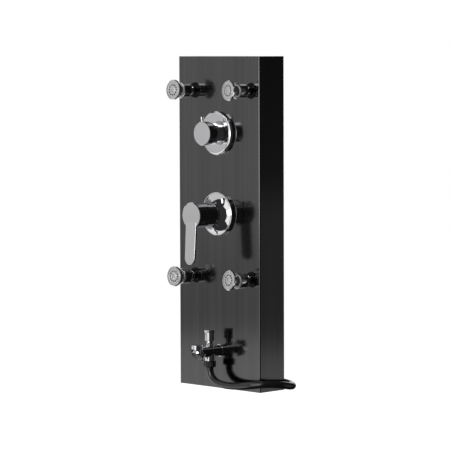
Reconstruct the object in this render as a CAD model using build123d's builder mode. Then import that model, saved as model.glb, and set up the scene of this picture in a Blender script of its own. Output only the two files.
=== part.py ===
"""Lower section of a wall-hung shower column, as an assembly of its real pieces.

A folded steel panel carries a single-lever mixer, an outlet diverter with a round
knob, four swivel body jets and a bath spout with a pull-up diverter, from which a
smooth hand-shower hose hangs. The panel hooks onto two wall brackets, and all its
plumbing runs behind it.

Frame: millimetres, +Z up, the wall is the plane Y = 0 and the panel faces -Y. The
origin is the centre of the four wall-screw holes. Places on the panel are given as
x, depth behind the front face (negative in front of it) and height above its foot.
"""
import os
from math import cos, pi, radians, sin, tan

from build123d import *

os.makedirs("parts", exist_ok=True)

# ---------------------------------------------------------------- driving dimensions
PANEL_WIDTH = 220.0
PANEL_DEPTH = 66.0
PANEL_HEIGHT = 640.0
SHEET = 1.5                    # panel steel
FOLD_RADIUS = 2.6              # outside radius of the folded front corners
REAR_FLANGE = 22.0             # inward return along each rear edge
WALL_GAP = 24.0                # rear of the panel to the wall

BRACKET_HEIGHTS = (245.0, 585.0)   # screw rows above the foot of the panel
BRACKET_WIDTH = 160.0
SCREW_SPACING_X = 120.0
SCREW_HOLE_RADIUS = 2.75
BRACKET_SHEET = 2.0

MIXER_HEIGHT = 337.5
DIVERTER_HEIGHT = 493.0
SPOUT_HEIGHT = 73.0
JET_HEIGHTS = {"upper": 574.5, "lower": 214.0}
JET_OFFSETS = {"left": -76.5, "right": 76.5}

THREAD_HALF_INCH = 20.955 / 2      # G1/2 major radius, male threads
THREAD_HALF_INCH_BORE = 18.631 / 2  # G1/2 minor radius, female threads

HOSE_RADIUS = 7.0              # hand-shower hose
PIPE_RADIUS = 6.0              # inner supply hoses
PIPE_BORE = 4.0
STEM_RADIUS = 3.9              # barbed stem inside an inner hose
BOSS_RADIUS = 7.5

FRONT_Y = -(PANEL_DEPTH + WALL_GAP)
FOOT_Z = -sum(BRACKET_HEIGHTS) / 2

OUT = (0, -1, 0)
INTO = (0, 1, 0)
UP = (0, 0, 1)
DOWN = (0, 0, -1)
RIGHT = (1, 0, 0)
LEFT = (-1, 0, 0)


def place(x, depth, height):
    """Point at x, a depth behind the front face and a height above the foot."""
    return Vector(x, FRONT_Y + depth, FOOT_Z + height)


def facing(x, out, height):
    """Plane parallel to the panel, out millimetres in front of it, looking outwards."""
    return Plane(origin=place(x, -out, height), x_dir=RIGHT, z_dir=OUT)


def section(x, height):
    """Plane for turned profiles: local x is the radius, local y the way out."""
    return Plane(origin=place(x, 0, height), x_dir=RIGHT, z_dir=DOWN)


def turned(plane, outline, mode=Mode.ADD):
    """Revolve a closed outline of (radius, distance) points about the plane's y axis."""
    with BuildSketch(plane) as profile:
        with BuildLine():
            Polyline(*outline, close=True)
        make_face()
    revolve(profile.sketch, axis=Axis(plane.origin, plane.y_dir), mode=mode)


def rod(start, direction, radius, length, mode=Mode.ADD):
    """Round bar from a start point along a direction."""
    with Locations(Plane(origin=start, z_dir=direction)):
        Cylinder(radius, length, align=(Align.CENTER, Align.CENTER, Align.MIN), mode=mode)


def hose_port(start, direction):
    """Boss with a stem for an inner hose; returns nothing, adds to the part."""
    rod(start, direction, BOSS_RADIUS, 10.0)
    rod(start + Vector(*direction) * 10.0, direction, STEM_RADIUS, 13.0)


def inner_hose(start, end):
    """Straight flexible supply hose between two ports."""
    span = end - start
    rod(start, span.normalized(), PIPE_RADIUS, span.length)
    rod(start, span.normalized(), PIPE_BORE, span.length, mode=Mode.SUBTRACT)


def finish(part, name):
    """Label a piece and write it to its own file."""
    part.part.label = name
    export_step(part.part, f"parts/{name}.step")


# ---------------------------------------------------------------- panel and its end plates
JET_HOLE = 8.1
MIXER_HOLE = 20.5
DIVERTER_HOLE = 12.5
SPOUT_HOLE = 10.8
RISER_DEPTH = 33.0
RISER_BUSH_RADIUS = 15.0

with BuildPart() as panel_shell:
    with BuildSketch(Plane.XY.offset(FOOT_Z)) as outline:
        with Locations((0, FRONT_Y + PANEL_DEPTH / 2)):
            Rectangle(PANEL_WIDTH, PANEL_DEPTH)
        fillet(outline.vertices().group_by(Axis.Y)[0], FOLD_RADIUS)
        with Locations((0, FRONT_Y + PANEL_DEPTH / 2)):
            Rectangle(PANEL_WIDTH - 2 * SHEET, PANEL_DEPTH - 2 * SHEET, mode=Mode.SUBTRACT)
        with Locations((0, FRONT_Y + PANEL_DEPTH)):
            Rectangle(PANEL_WIDTH - 2 * REAR_FLANGE, 4 * SHEET, mode=Mode.SUBTRACT)
    extrude(amount=PANEL_HEIGHT)
    for jet_x in JET_OFFSETS.values():
        for jet_height in JET_HEIGHTS.values():
            rod(place(jet_x, -1, jet_height), INTO, JET_HOLE, SHEET + 2, mode=Mode.SUBTRACT)
    for hole_height, hole_radius in (
        (MIXER_HEIGHT, MIXER_HOLE),
        (DIVERTER_HEIGHT, DIVERTER_HOLE),
        (SPOUT_HEIGHT, SPOUT_HOLE),
    ):
        rod(place(0, -1, hole_height), INTO, hole_radius, SHEET + 2, mode=Mode.SUBTRACT)
finish(panel_shell, "panel_shell")

END_PLATE_SLACK = 0.1
END_PLATE_LIP = 14.0


def end_plate(height, lip_way):
    """Flat plate closing one end of the panel, with a lip turned in behind it."""
    wide = PANEL_WIDTH - 2 * (SHEET + END_PLATE_SLACK)
    deep = PANEL_DEPTH - 2 * (SHEET + END_PLATE_SLACK)
    with Locations(place(0, PANEL_DEPTH / 2, height + SHEET / 2)):
        Box(wide, deep, SHEET)
    lip_middle = height + SHEET / 2 + lip_way * (END_PLATE_LIP - SHEET) / 2
    with Locations(place(0, PANEL_DEPTH / 2 + deep / 2 - SHEET / 2, lip_middle)):
        Box(wide - 2 * REAR_FLANGE, SHEET, END_PLATE_LIP)


with BuildPart() as top_end_plate:
    end_plate(PANEL_HEIGHT - SHEET, -1)
    rod(place(0, RISER_DEPTH, PANEL_HEIGHT - 5), UP, RISER_BUSH_RADIUS + 0.1, 10, mode=Mode.SUBTRACT)
finish(top_end_plate, "top_end_plate")

with BuildPart() as bottom_end_plate:
    end_plate(0, 1)
finish(bottom_end_plate, "bottom_end_plate")

# ---------------------------------------------------------------- hanging rails and wall brackets
RAIL_WIDTH = PANEL_WIDTH - 30      # ends overlap the rear flanges, behind the panel's sides
HOOK_TOP = 33.0                # underside of the rail's hook above the screw row
LIP_DEPTH = PANEL_DEPTH + 7.0  # front face of the bracket's upstand
WALL_DEPTH = PANEL_DEPTH + WALL_GAP


def folded_strip(width, outline):
    """Strip of constant cross-section along X; outline points are (depth, height)."""
    with BuildSketch(Plane.YZ) as profile:
        with BuildLine():
            Polyline(*[(FRONT_Y + d, FOOT_Z + h) for d, h in outline], close=True)
        make_face()
    extrude(profile.sketch, amount=width / 2, both=True)


def hanging_rail(row):
    """Hooked rail fixed across the rear flanges of the panel."""
    back = PANEL_DEPTH
    folded_strip(RAIL_WIDTH, [
        (back, row + 18), (back + SHEET, row + 18), (back + SHEET, row + HOOK_TOP),
        (back + 10, row + HOOK_TOP), (back + 10, row + 20), (back + 10 + SHEET, row + 20),
        (back + 10 + SHEET, row + HOOK_TOP + SHEET), (back + SHEET, row + HOOK_TOP + SHEET),
        (back + SHEET, row + 45), (back, row + 45),
    ])


def wall_bracket(row):
    """Z-section bracket: leg on the wall, shelf, and the upstand that takes the hook."""
    t = BRACKET_SHEET
    folded_strip(BRACKET_WIDTH, [
        (WALL_DEPTH, row - 15), (WALL_DEPTH, row + 17), (LIP_DEPTH + t, row + 17),
        (LIP_DEPTH + t, row + HOOK_TOP), (LIP_DEPTH, row + HOOK_TOP), (LIP_DEPTH, row + 15),
        (WALL_DEPTH - t, row + 15), (WALL_DEPTH - t, row - 15),
    ])
    for side in (-1, 1):
        rod(place(side * SCREW_SPACING_X / 2, WALL_DEPTH - t - 1, row), INTO,
            SCREW_HOLE_RADIUS, t + 2, mode=Mode.SUBTRACT)


with BuildPart() as hanging_rail_lower:
    hanging_rail(BRACKET_HEIGHTS[0])
finish(hanging_rail_lower, "hanging_rail_lower")

with BuildPart() as hanging_rail_upper:
    hanging_rail(BRACKET_HEIGHTS[1])
finish(hanging_rail_upper, "hanging_rail_upper")

with BuildPart() as wall_bracket_lower:
    wall_bracket(BRACKET_HEIGHTS[0])
finish(wall_bracket_lower, "wall_bracket_lower")

with BuildPart() as wall_bracket_upper:
    wall_bracket(BRACKET_HEIGHTS[1])
finish(wall_bracket_upper, "wall_bracket_upper")

# ---------------------------------------------------------------- single-lever mixer
INLET_X = 42.0                 # supply inlets either side of the mixer
INLET_DEPTH = 18.0
INLET_LENGTH = 14.0
NECK_RADIUS = 20.0             # threaded neck through the panel
CARTRIDGE_RADIUS = 17.5        # 35 mm ceramic cartridge
ROTOR_RADIUS = 12.0
LEVER_PIVOT_OUT = 31.0         # lever pivot in front of the panel
SLEEVE_RADIUS = 23.2
SLEEVE_END_OUT = 45.5
LEVER_CAP_RADIUS = 25.0
LEVER_FACE_OUT = 74.5
LEVER_REACH = 94.0             # centre of the round face to the paddle's tip
LEVER_LEAN = 3.4               # degrees that the paddle leans out from the panel
SPINDLE_SIDE = 9.0
MIXER = section(0, MIXER_HEIGHT)

with BuildPart() as mixer_body:
    turned(MIXER, [(0, -42), (25, -42), (25, -3), (NECK_RADIUS, -3), (NECK_RADIUS, 13), (0, 13)])
    rod(place(-INLET_X, INLET_DEPTH, MIXER_HEIGHT), RIGHT, 11, 2 * INLET_X)
    for side in (-1, 1):
        with Locations(place(side * INLET_X, INLET_DEPTH, MIXER_HEIGHT)):
            Sphere(13)
        rod(place(side * INLET_X, INLET_DEPTH, MIXER_HEIGHT), DOWN, 12, 30)
        rod(place(side * INLET_X, INLET_DEPTH, MIXER_HEIGHT - 30), DOWN, THREAD_HALF_INCH, INLET_LENGTH)
    hose_port(place(0, INLET_DEPTH, MIXER_HEIGHT + 22), UP)
    turned(MIXER, [(0, -34), (CARTRIDGE_RADIUS + 0.1, -34), (CARTRIDGE_RADIUS + 0.1, 20), (0, 20)],
           mode=Mode.SUBTRACT)
    for side in (-1, 1):
        rod(place(side * INLET_X, INLET_DEPTH, MIXER_HEIGHT - 50), UP, 6, 50, mode=Mode.SUBTRACT)
        rod(place(side * INLET_X, INLET_DEPTH, MIXER_HEIGHT), (-side, 0, 0), 5, INLET_X,
            mode=Mode.SUBTRACT)
    rod(place(0, INLET_DEPTH, MIXER_HEIGHT), UP, 2.6, 60, mode=Mode.SUBTRACT)
finish(mixer_body, "mixer_body")

with BuildPart() as mixer_clamp_nut:
    with BuildSketch(facing(0, 0.1, MIXER_HEIGHT)):
        RegularPolygon(29, 8)
        Circle(NECK_RADIUS + 0.1, mode=Mode.SUBTRACT)
    extrude(amount=4.5)
finish(mixer_clamp_nut, "mixer_clamp_nut")

with BuildPart() as mixer_cartridge:
    turned(MIXER, [(0, -33.9), (CARTRIDGE_RADIUS, -33.9), (CARTRIDGE_RADIUS, 13),
                   (16, 13), (16, 15), (ROTOR_RADIUS + 0.05, 15), (ROTOR_RADIUS + 0.05, -12), (0, -12)])
    for port_x in (-7.5, 7.5):
        rod(place(port_x, 34.5, MIXER_HEIGHT - 4), OUT, 3.2, 30, mode=Mode.SUBTRACT)
    rod(place(0, 34.5, MIXER_HEIGHT + 8), OUT, 3.2, 30, mode=Mode.SUBTRACT)
finish(mixer_cartridge, "mixer_cartridge")

with BuildPart() as mixer_cartridge_nut:
    turned(MIXER, [(NECK_RADIUS + 0.05, 4.8), (21.6, 4.8), (21.6, 19), (13, 19), (13, 15.1),
                   (16.2, 15.1), (16.2, 13.1), (NECK_RADIUS + 0.05, 13.1)])
finish(mixer_cartridge_nut, "mixer_cartridge_nut")

ESCUTCHEON_RADIUS = 42.2
DISH_CREST = 21.0              # the dish meets the sleeve this far out

with BuildPart() as mixer_escutcheon:
    with BuildSketch(MIXER) as dish:
        with BuildLine():
            rim = Line((ESCUTCHEON_RADIUS, 0), (ESCUTCHEON_RADIUS, 4.4))
            shoulder = TangentArc(rim @ 1, (ESCUTCHEON_RADIUS - 3.6, 7.6), tangent=(0, 1))
            crown = ThreePointArc(shoulder @ 1, (33.0, 11.2), (SLEEVE_RADIUS + 0.4, DISH_CREST))
            lip = Line(crown @ 1, (SLEEVE_RADIUS + 0.4, DISH_CREST - 1.8))
            under = ThreePointArc(lip @ 1, (32.2, 9.4), (ESCUTCHEON_RADIUS - 3.6, 5.6))
            Line(under @ 1, (ESCUTCHEON_RADIUS - 1.6, 0))
            Line((ESCUTCHEON_RADIUS - 1.6, 0), rim @ 0)
        make_face()
    revolve(axis=Axis(MIXER.origin, OUT))
finish(mixer_escutcheon, "mixer_escutcheon")

with BuildPart() as mixer_sleeve:
    turned(MIXER, [(21.9, 14), (SLEEVE_RADIUS, 14), (SLEEVE_RADIUS, 17.2), (SLEEVE_RADIUS + 0.3, 17.6),
                   (SLEEVE_RADIUS + 0.3, 18.6), (SLEEVE_RADIUS, 19), (SLEEVE_RADIUS, SLEEVE_END_OUT - 0.6),
                   (SLEEVE_RADIUS - 0.6, SLEEVE_END_OUT), (21.9, SLEEVE_END_OUT)])
finish(mixer_sleeve, "mixer_sleeve")

PIVOT = place(0, -LEVER_PIVOT_OUT, MIXER_HEIGHT)

with BuildPart() as mixer_rotor:
    turned(MIXER, [(0, -11.8), (ROTOR_RADIUS, -11.8), (ROTOR_RADIUS, 36.5), (0, 36.5)])
    with BuildSketch(facing(0, 18, MIXER_HEIGHT)):
        Rectangle(SPINDLE_SIDE + 0.6, 2 * ROTOR_RADIUS + 2)
    extrude(amount=30, mode=Mode.SUBTRACT)
    rod(PIVOT - Vector(20, 0, 0), RIGHT, 1.55, 40, mode=Mode.SUBTRACT)
finish(mixer_rotor, "mixer_rotor")

with BuildPart() as mixer_spindle:
    with BuildSketch(facing(0, 22, MIXER_HEIGHT)):
        RectangleRounded(SPINDLE_SIDE, SPINDLE_SIDE, 1)
    extrude(amount=44)
    rod(PIVOT - Vector(11, 0, 0), RIGHT, 1.5, 22)
finish(mixer_spindle, "mixer_spindle")

GRUB_OUT = 59.0
CAP_REAR_OUT = 46.0

with BuildPart() as mixer_lever:
    turned(MIXER, [(23.7, CAP_REAR_OUT), (LEVER_CAP_RADIUS - 0.6, CAP_REAR_OUT),
                   (LEVER_CAP_RADIUS, CAP_REAR_OUT + 0.6), (LEVER_CAP_RADIUS, LEVER_FACE_OUT - 1.2),
                   (LEVER_CAP_RADIUS - 1.2, LEVER_FACE_OUT), (0, LEVER_FACE_OUT),
                   (0, 48), (9, 48), (9, 68.5), (23.7, 68.5)])
    leaning = Plane(
        origin=place(0, -LEVER_FACE_OUT, MIXER_HEIGHT),
        x_dir=RIGHT,
        z_dir=(0, -cos(radians(LEVER_LEAN)), sin(radians(LEVER_LEAN))),
    )
    with BuildSketch(leaning) as blade:
        with BuildLine():
            right_edge = Line((14.2, -12), (13.2, -LEVER_REACH + 13.2))
            tip = ThreePointArc(right_edge @ 1, (0, -LEVER_REACH), (-13.2, -LEVER_REACH + 13.2))
            Line(tip @ 1, (-14.2, -12))
            Line((-14.2, -12), (14.2, -12))
        make_face()
    extrude(amount=-4.6)
    fillet(mixer_lever.edges().filter_by(lambda e: e.center().Z < MIXER.origin.Z - 30), 1.0)
    with BuildSketch(facing(0, 47, MIXER_HEIGHT)):
        RectangleRounded(SPINDLE_SIDE + 0.1, SPINDLE_SIDE + 0.1, 1)
    extrude(amount=19.1, mode=Mode.SUBTRACT)
    rod(place(0, -GRUB_OUT, MIXER_HEIGHT + 4), UP, 2.5, 30, mode=Mode.SUBTRACT)
finish(mixer_lever, "mixer_lever")

with BuildPart() as lever_set_screw:
    rod(place(0, -GRUB_OUT, MIXER_HEIGHT + SPINDLE_SIDE / 2), UP, 2.45, 6)
    with BuildSketch(Plane(origin=place(0, -GRUB_OUT, MIXER_HEIGHT + SPINDLE_SIDE / 2 + 6), z_dir=UP)):
        RegularPolygon(1.4, 6)
    extrude(amount=-2.5, mode=Mode.SUBTRACT)
finish(lever_set_screw, "lever_set_screw")

# ---------------------------------------------------------------- outlet diverter
DIVERTER = section(0, DIVERTER_HEIGHT)
SPOUT_PIPE_DEPTH = 51.0
KNOB_RADIUS = 22.8
KNOB_REAR_OUT = 19.0
KNOB_FACE_OUT = 45.0
KNOB_REST_TURN = 8.0           # the pin stands this many degrees left of upright
PIN_RADIUS = 3.3
PIN_REACH = 9.6
PIN_SETBACK = 5.0

with BuildPart() as diverter_body:
    turned(DIVERTER, [(0, -60), (20, -60), (20, -3), (12, -3), (12, 6), (0, 6)])
    hose_port(place(0, INLET_DEPTH, DIVERTER_HEIGHT - 18), DOWN)
    hose_port(place(0, SPOUT_PIPE_DEPTH, DIVERTER_HEIGHT - 18), DOWN)
    hose_port(place(0, RISER_DEPTH, DIVERTER_HEIGHT + 18), UP)
    for side in (-1, 1):
        hose_port(place(side * 18, 24, DIVERTER_HEIGHT), (side, 0, 0))
    turned(DIVERTER, [(0, -26), (9.6, -26), (9.6, 8), (0, 8)], mode=Mode.SUBTRACT)
    rod(place(0, INLET_DEPTH, DIVERTER_HEIGHT), DOWN, 2.6, 60, mode=Mode.SUBTRACT)
    for side in (-1, 1):
        rod(place(0, 24, DIVERTER_HEIGHT), (side, 0, 0), 2.6, 60, mode=Mode.SUBTRACT)
    rod(place(0, 20, DIVERTER_HEIGHT), INTO, 2.6, 34, mode=Mode.SUBTRACT)
    rod(place(0, RISER_DEPTH, DIVERTER_HEIGHT), UP, 2.6, 60, mode=Mode.SUBTRACT)
    rod(place(0, SPOUT_PIPE_DEPTH, DIVERTER_HEIGHT), DOWN, 2.6, 60, mode=Mode.SUBTRACT)
finish(diverter_body, "diverter_body")

with BuildPart() as body_gaskets:
    turned(MIXER, [(NECK_RADIUS + 0.5, -3), (24.5, -3), (24.5, -SHEET), (NECK_RADIUS + 0.5, -SHEET)])
    turned(DIVERTER, [(12.5, -3), (18, -3), (18, -SHEET), (12.5, -SHEET)])
finish(body_gaskets, "body_gaskets")

with BuildPart() as diverter_clamp_nut:
    with BuildSketch(facing(0, 0.1, DIVERTER_HEIGHT)):
        RegularPolygon(17.5, 6)
        Circle(12.1, mode=Mode.SUBTRACT)
    extrude(amount=4.4)
finish(diverter_clamp_nut, "diverter_clamp_nut")

with BuildPart() as diverter_cartridge:
    turned(DIVERTER, [(0, -25.9), (9.5, -25.9), (9.5, 9), (4.55, 9), (4.55, -8), (0, -8)])
    rod(place(0, 27, DIVERTER_HEIGHT), OUT, 2.4, 16, mode=Mode.SUBTRACT)
finish(diverter_cartridge, "diverter_cartridge")

PLATE_RADIUS = 43.2

with BuildPart() as diverter_escutcheon:
    with BuildSketch(DIVERTER) as plate:
        with BuildLine():
            wall = Line((PLATE_RADIUS, 0), (PLATE_RADIUS, 3.6))
            bevel = ThreePointArc(wall @ 1, (PLATE_RADIUS - 1.8, 7.4), (PLATE_RADIUS - 6.4, 9.6))
            face = Line(bevel @ 1, (17.6, 9.6))
            hole = Line(face @ 1, (17.6, 7.8))
            inside = Line(hole @ 1, (PLATE_RADIUS - 6.6, 7.8))
            inner = ThreePointArc(inside @ 1, (PLATE_RADIUS - 3.2, 6.2), (PLATE_RADIUS - 1.8, 3.4))
            foot = Line(inner @ 1, (PLATE_RADIUS - 1.8, 0))
            Line(foot @ 1, wall @ 0)
        make_face()
    revolve(axis=Axis(DIVERTER.origin, OUT))
finish(diverter_escutcheon, "diverter_escutcheon")

with BuildPart() as diverter_sleeve:
    turned(DIVERTER, [(9.55, 6.1), (17.2, 6.1), (17.2, 9.6), (18.6, 9.6), (18.6, 17.8), (17.8, 18.6),
                      (15.5, 18.6), (15.5, 9.2), (9.55, 9.2)])
finish(diverter_sleeve, "diverter_sleeve")

with BuildPart() as diverter_spindle:
    turned(DIVERTER, [(0, -7.8), (4.5, -7.8), (4.5, 23.4), (4, 24), (4, 36), (0, 36)])
finish(diverter_spindle, "diverter_spindle")

pin_way = Vector(-sin(radians(KNOB_REST_TURN)), 0, cos(radians(KNOB_REST_TURN)))
pin_seat = place(0, -(KNOB_FACE_OUT - PIN_SETBACK), DIVERTER_HEIGHT) + pin_way * 12

with BuildPart() as diverter_knob:
    turned(DIVERTER, [(13, KNOB_REAR_OUT), (KNOB_RADIUS - 0.6, KNOB_REAR_OUT),
                      (KNOB_RADIUS, KNOB_REAR_OUT + 0.6), (KNOB_RADIUS, KNOB_FACE_OUT - 0.8),
                      (KNOB_RADIUS - 0.8, KNOB_FACE_OUT), (0, KNOB_FACE_OUT), (0, 36.1),
                      (4.05, 36.1), (4.05, 24.2), (13, 24.2)])
    rod(pin_seat, pin_way, PIN_RADIUS + 0.02, 20, mode=Mode.SUBTRACT)
finish(diverter_knob, "diverter_knob")

with BuildPart() as knob_pin:
    rod(pin_seat, pin_way, PIN_RADIUS, KNOB_RADIUS + PIN_REACH - 12)
    fillet(knob_pin.edges().sort_by(Axis.Z)[-1], 0.8)
finish(knob_pin, "knob_pin")

# ---------------------------------------------------------------- swivel body jets
JET_NECK_RADIUS = 8.0
JET_BARREL_RADIUS = 15.3
JET_BARREL_REAR = 10.2
JET_BARREL_FRONT = 29.0
BALL_OUT = 26.0                # centre of the swivel ball in front of the panel
BALL_RADIUS = 11.2
SEAT_RADIUS = 13.0             # outside of the ball's liner
DISC_RADIUS = 19.4
DISC_REAR = 20.2               # behind the disc, measured from the ball's centre
DISC_FACE = 22.4
SHANK_RADIUS = 7.9
SHANK_DEPTH = 21.0
JET_PIPE_DEPTH = 24.0
# rest aim of each jet in degrees: turned towards -X, then tilted upwards
JET_AIMS = {
    ("upper", "left"): (0.0, 4.0),
    ("upper", "right"): (8.0, 3.0),
    ("lower", "left"): (-2.0, 3.0),
    ("lower", "right"): (7.0, 7.0),
}

for (row, side), (turn, rise) in JET_AIMS.items():
    jet_x = JET_OFFSETS[side]
    jet_height = JET_HEIGHTS[row]
    jet = section(jet_x, jet_height)
    ball_centre = place(jet_x, -BALL_OUT, jet_height)

    with BuildPart() as jet_base:
        turned(jet, [(0, -SHANK_DEPTH), (SHANK_RADIUS, -SHANK_DEPTH), (SHANK_RADIUS, 0),
                     (JET_NECK_RADIUS + 0.8, 0), (JET_NECK_RADIUS + 0.8, 1), (JET_NECK_RADIUS, 1.6),
                     (JET_NECK_RADIUS, JET_BARREL_REAR - 0.4), (JET_BARREL_RADIUS - 0.5, JET_BARREL_REAR),
                     (JET_BARREL_RADIUS + 0.35, JET_BARREL_REAR + 0.8),
                     (JET_BARREL_RADIUS + 0.35, JET_BARREL_REAR + 1.8),
                     (JET_BARREL_RADIUS, JET_BARREL_REAR + 2.4),
                     (JET_BARREL_RADIUS, JET_BARREL_FRONT - 0.5),
                     (JET_BARREL_RADIUS - 0.5, JET_BARREL_FRONT), (0, JET_BARREL_FRONT)])
        with Locations(ball_centre):
            Sphere(SEAT_RADIUS + 0.05, mode=Mode.SUBTRACT)
        rod(place(jet_x, SHANK_DEPTH + 1, jet_height), OUT, 4.5, SHANK_DEPTH + 16, mode=Mode.SUBTRACT)
    finish(jet_base, f"jet_base_{row}_{side}")

    with BuildPart() as jet_liner:
        with Locations(ball_centre):
            Sphere(SEAT_RADIUS)
            Sphere(BALL_RADIUS + 0.05, mode=Mode.SUBTRACT)
        with Locations(ball_centre - Vector(0, 4.0 + 20, 0)):
            Box(40, 40, 40, mode=Mode.SUBTRACT)
        with Locations(ball_centre + Vector(0, 8.0 + 20, 0)):
            Box(40, 40, 40, mode=Mode.SUBTRACT)
    finish(jet_liner, f"jet_liner_{row}_{side}")

    aim = Vector(-sin(radians(turn)) * cos(radians(rise)),
                 -cos(radians(turn)) * cos(radians(rise)),
                 sin(radians(rise)))
    across = Vector(cos(radians(turn)), -sin(radians(turn)), 0)
    aimed = Plane(origin=ball_centre, x_dir=across, z_dir=across.cross(aim))

    with BuildPart() as jet_head:
        turned(aimed, [(0, 8), (6.8, 8), (6.2, 13), (7.2, 16.4), (DISC_RADIUS - 1.0, 18.4),
                       (DISC_RADIUS, 19.0), (DISC_RADIUS, DISC_FACE - 1.2), (DISC_RADIUS - 1.2, DISC_FACE),
                       (DISC_RADIUS - 3.2, DISC_FACE), (DISC_RADIUS - 3.6, DISC_FACE - 0.6),
                       (0, DISC_FACE - 0.6)])
        with Locations(ball_centre):
            Sphere(BALL_RADIUS)
        rod(ball_centre - aim * 14, aim, 4, 30, mode=Mode.SUBTRACT)
        rod(ball_centre - aim * 14, aim, 9, 6.5, mode=Mode.SUBTRACT)
    finish(jet_head, f"jet_head_{row}_{side}")

with BuildPart() as jet_gaskets:
    for jet_x in JET_OFFSETS.values():
        for jet_height in JET_HEIGHTS.values():
            turned(section(jet_x, jet_height),
                   [(8.3, -3), (13, -3), (13, -SHEET), (8.3, -SHEET)])
finish(jet_gaskets, "jet_gaskets")

with BuildPart() as jet_back_nuts:
    for jet_x in JET_OFFSETS.values():
        for jet_height in JET_HEIGHTS.values():
            with BuildSketch(facing(jet_x, -3, jet_height)):
                RegularPolygon(13, 6)
                Circle(SHANK_RADIUS + 0.05, mode=Mode.SUBTRACT)
            extrude(amount=-5.5)
finish(jet_back_nuts, "jet_back_nuts")

with BuildPart() as jet_elbows:
    for jet_x in JET_OFFSETS.values():
        for row, way in (("upper", DOWN), ("lower", UP)):
            centre = place(jet_x, JET_PIPE_DEPTH, JET_HEIGHTS[row])
            rod(place(jet_x, 12, JET_HEIGHTS[row]), INTO, 11, 24)
            hose_port(centre + Vector(*way) * 6, way)
            rod(place(jet_x, 11, JET_HEIGHTS[row]), INTO, SHANK_RADIUS + 0.05, 10.5, mode=Mode.SUBTRACT)
            rod(place(jet_x, 12, JET_HEIGHTS[row]), INTO, 5, 20, mode=Mode.SUBTRACT)
            rod(centre, way, 2.6, 40, mode=Mode.SUBTRACT)
finish(jet_elbows, "jet_elbows")

# ---------------------------------------------------------------- water ways behind the panel
TEE_REACH = 14.0               # tee centre to the end of each boss

with BuildPart() as jet_feed_tees:
    for side, jet_x in ((-1, JET_OFFSETS["left"]), (1, JET_OFFSETS["right"])):
        centre = place(jet_x, JET_PIPE_DEPTH, DIVERTER_HEIGHT)
        with Locations(centre):
            Sphere(9)
        for way in (UP, DOWN, (-side, 0, 0)):
            hose_port(centre + Vector(*way) * 4, way)
            rod(centre, way, 2.6, 40, mode=Mode.SUBTRACT)
finish(jet_feed_tees, "jet_feed_tees")

with BuildPart() as jet_feed_hoses:
    for side, jet_x in ((-1, JET_OFFSETS["left"]), (1, JET_OFFSETS["right"])):
        inner_hose(place(side * 28, JET_PIPE_DEPTH, DIVERTER_HEIGHT),
                   place(jet_x - side * TEE_REACH, JET_PIPE_DEPTH, DIVERTER_HEIGHT))
        inner_hose(place(jet_x, JET_PIPE_DEPTH, DIVERTER_HEIGHT + TEE_REACH),
                   place(jet_x, JET_PIPE_DEPTH, JET_HEIGHTS["upper"] - 16))
        inner_hose(place(jet_x, JET_PIPE_DEPTH, DIVERTER_HEIGHT - TEE_REACH),
                   place(jet_x, JET_PIPE_DEPTH, JET_HEIGHTS["lower"] + 16))
finish(jet_feed_hoses, "jet_feed_hoses")

with BuildPart() as mixer_hose:
    inner_hose(place(0, INLET_DEPTH, MIXER_HEIGHT + 32), place(0, INLET_DEPTH, DIVERTER_HEIGHT - 28))
finish(mixer_hose, "mixer_hose")

RISER_BUSH_FOOT = PANEL_HEIGHT - 26.0

with BuildPart() as riser_bush:
    rod(place(0, RISER_DEPTH, RISER_BUSH_FOOT), UP, RISER_BUSH_RADIUS, PANEL_HEIGHT - RISER_BUSH_FOOT)
    rod(place(0, RISER_DEPTH, PANEL_HEIGHT - SHEET - 3.5), UP, RISER_BUSH_RADIUS + 4, 3.4)
    hose_port(place(0, RISER_DEPTH, RISER_BUSH_FOOT), DOWN)
    rod(place(0, RISER_DEPTH, PANEL_HEIGHT - 16), UP, THREAD_HALF_INCH_BORE, 17, mode=Mode.SUBTRACT)
    rod(place(0, RISER_DEPTH, RISER_BUSH_FOOT - 30), UP, 2.6, 50, mode=Mode.SUBTRACT)
finish(riser_bush, "riser_bush")

with BuildPart() as riser_hose:
    inner_hose(place(0, RISER_DEPTH, DIVERTER_HEIGHT + 28), place(0, RISER_DEPTH, RISER_BUSH_FOOT - 10))
finish(riser_hose, "riser_hose")

ELBOW_RISE = 24.0

with BuildPart() as spout_hose:
    inner_hose(place(0, SPOUT_PIPE_DEPTH, DIVERTER_HEIGHT - 28),
               place(0, SPOUT_PIPE_DEPTH, SPOUT_HEIGHT + ELBOW_RISE))
finish(spout_hose, "spout_hose")

with BuildPart() as spout_elbow:
    rod(place(0, 14, SPOUT_HEIGHT), INTO, 13.5, 44)
    hose_port(place(0, SPOUT_PIPE_DEPTH, SPOUT_HEIGHT + ELBOW_RISE - 10), UP)
    rod(place(0, SPOUT_PIPE_DEPTH, SPOUT_HEIGHT), UP, BOSS_RADIUS, ELBOW_RISE - 10)
    rod(place(0, 13, SPOUT_HEIGHT), INTO, THREAD_HALF_INCH + 0.05, 12, mode=Mode.SUBTRACT)
    rod(place(0, 13, SPOUT_HEIGHT), INTO, 6, 41, mode=Mode.SUBTRACT)
    rod(place(0, SPOUT_PIPE_DEPTH, SPOUT_HEIGHT), UP, 2.6, 60, mode=Mode.SUBTRACT)
finish(spout_elbow, "spout_elbow")

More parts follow.
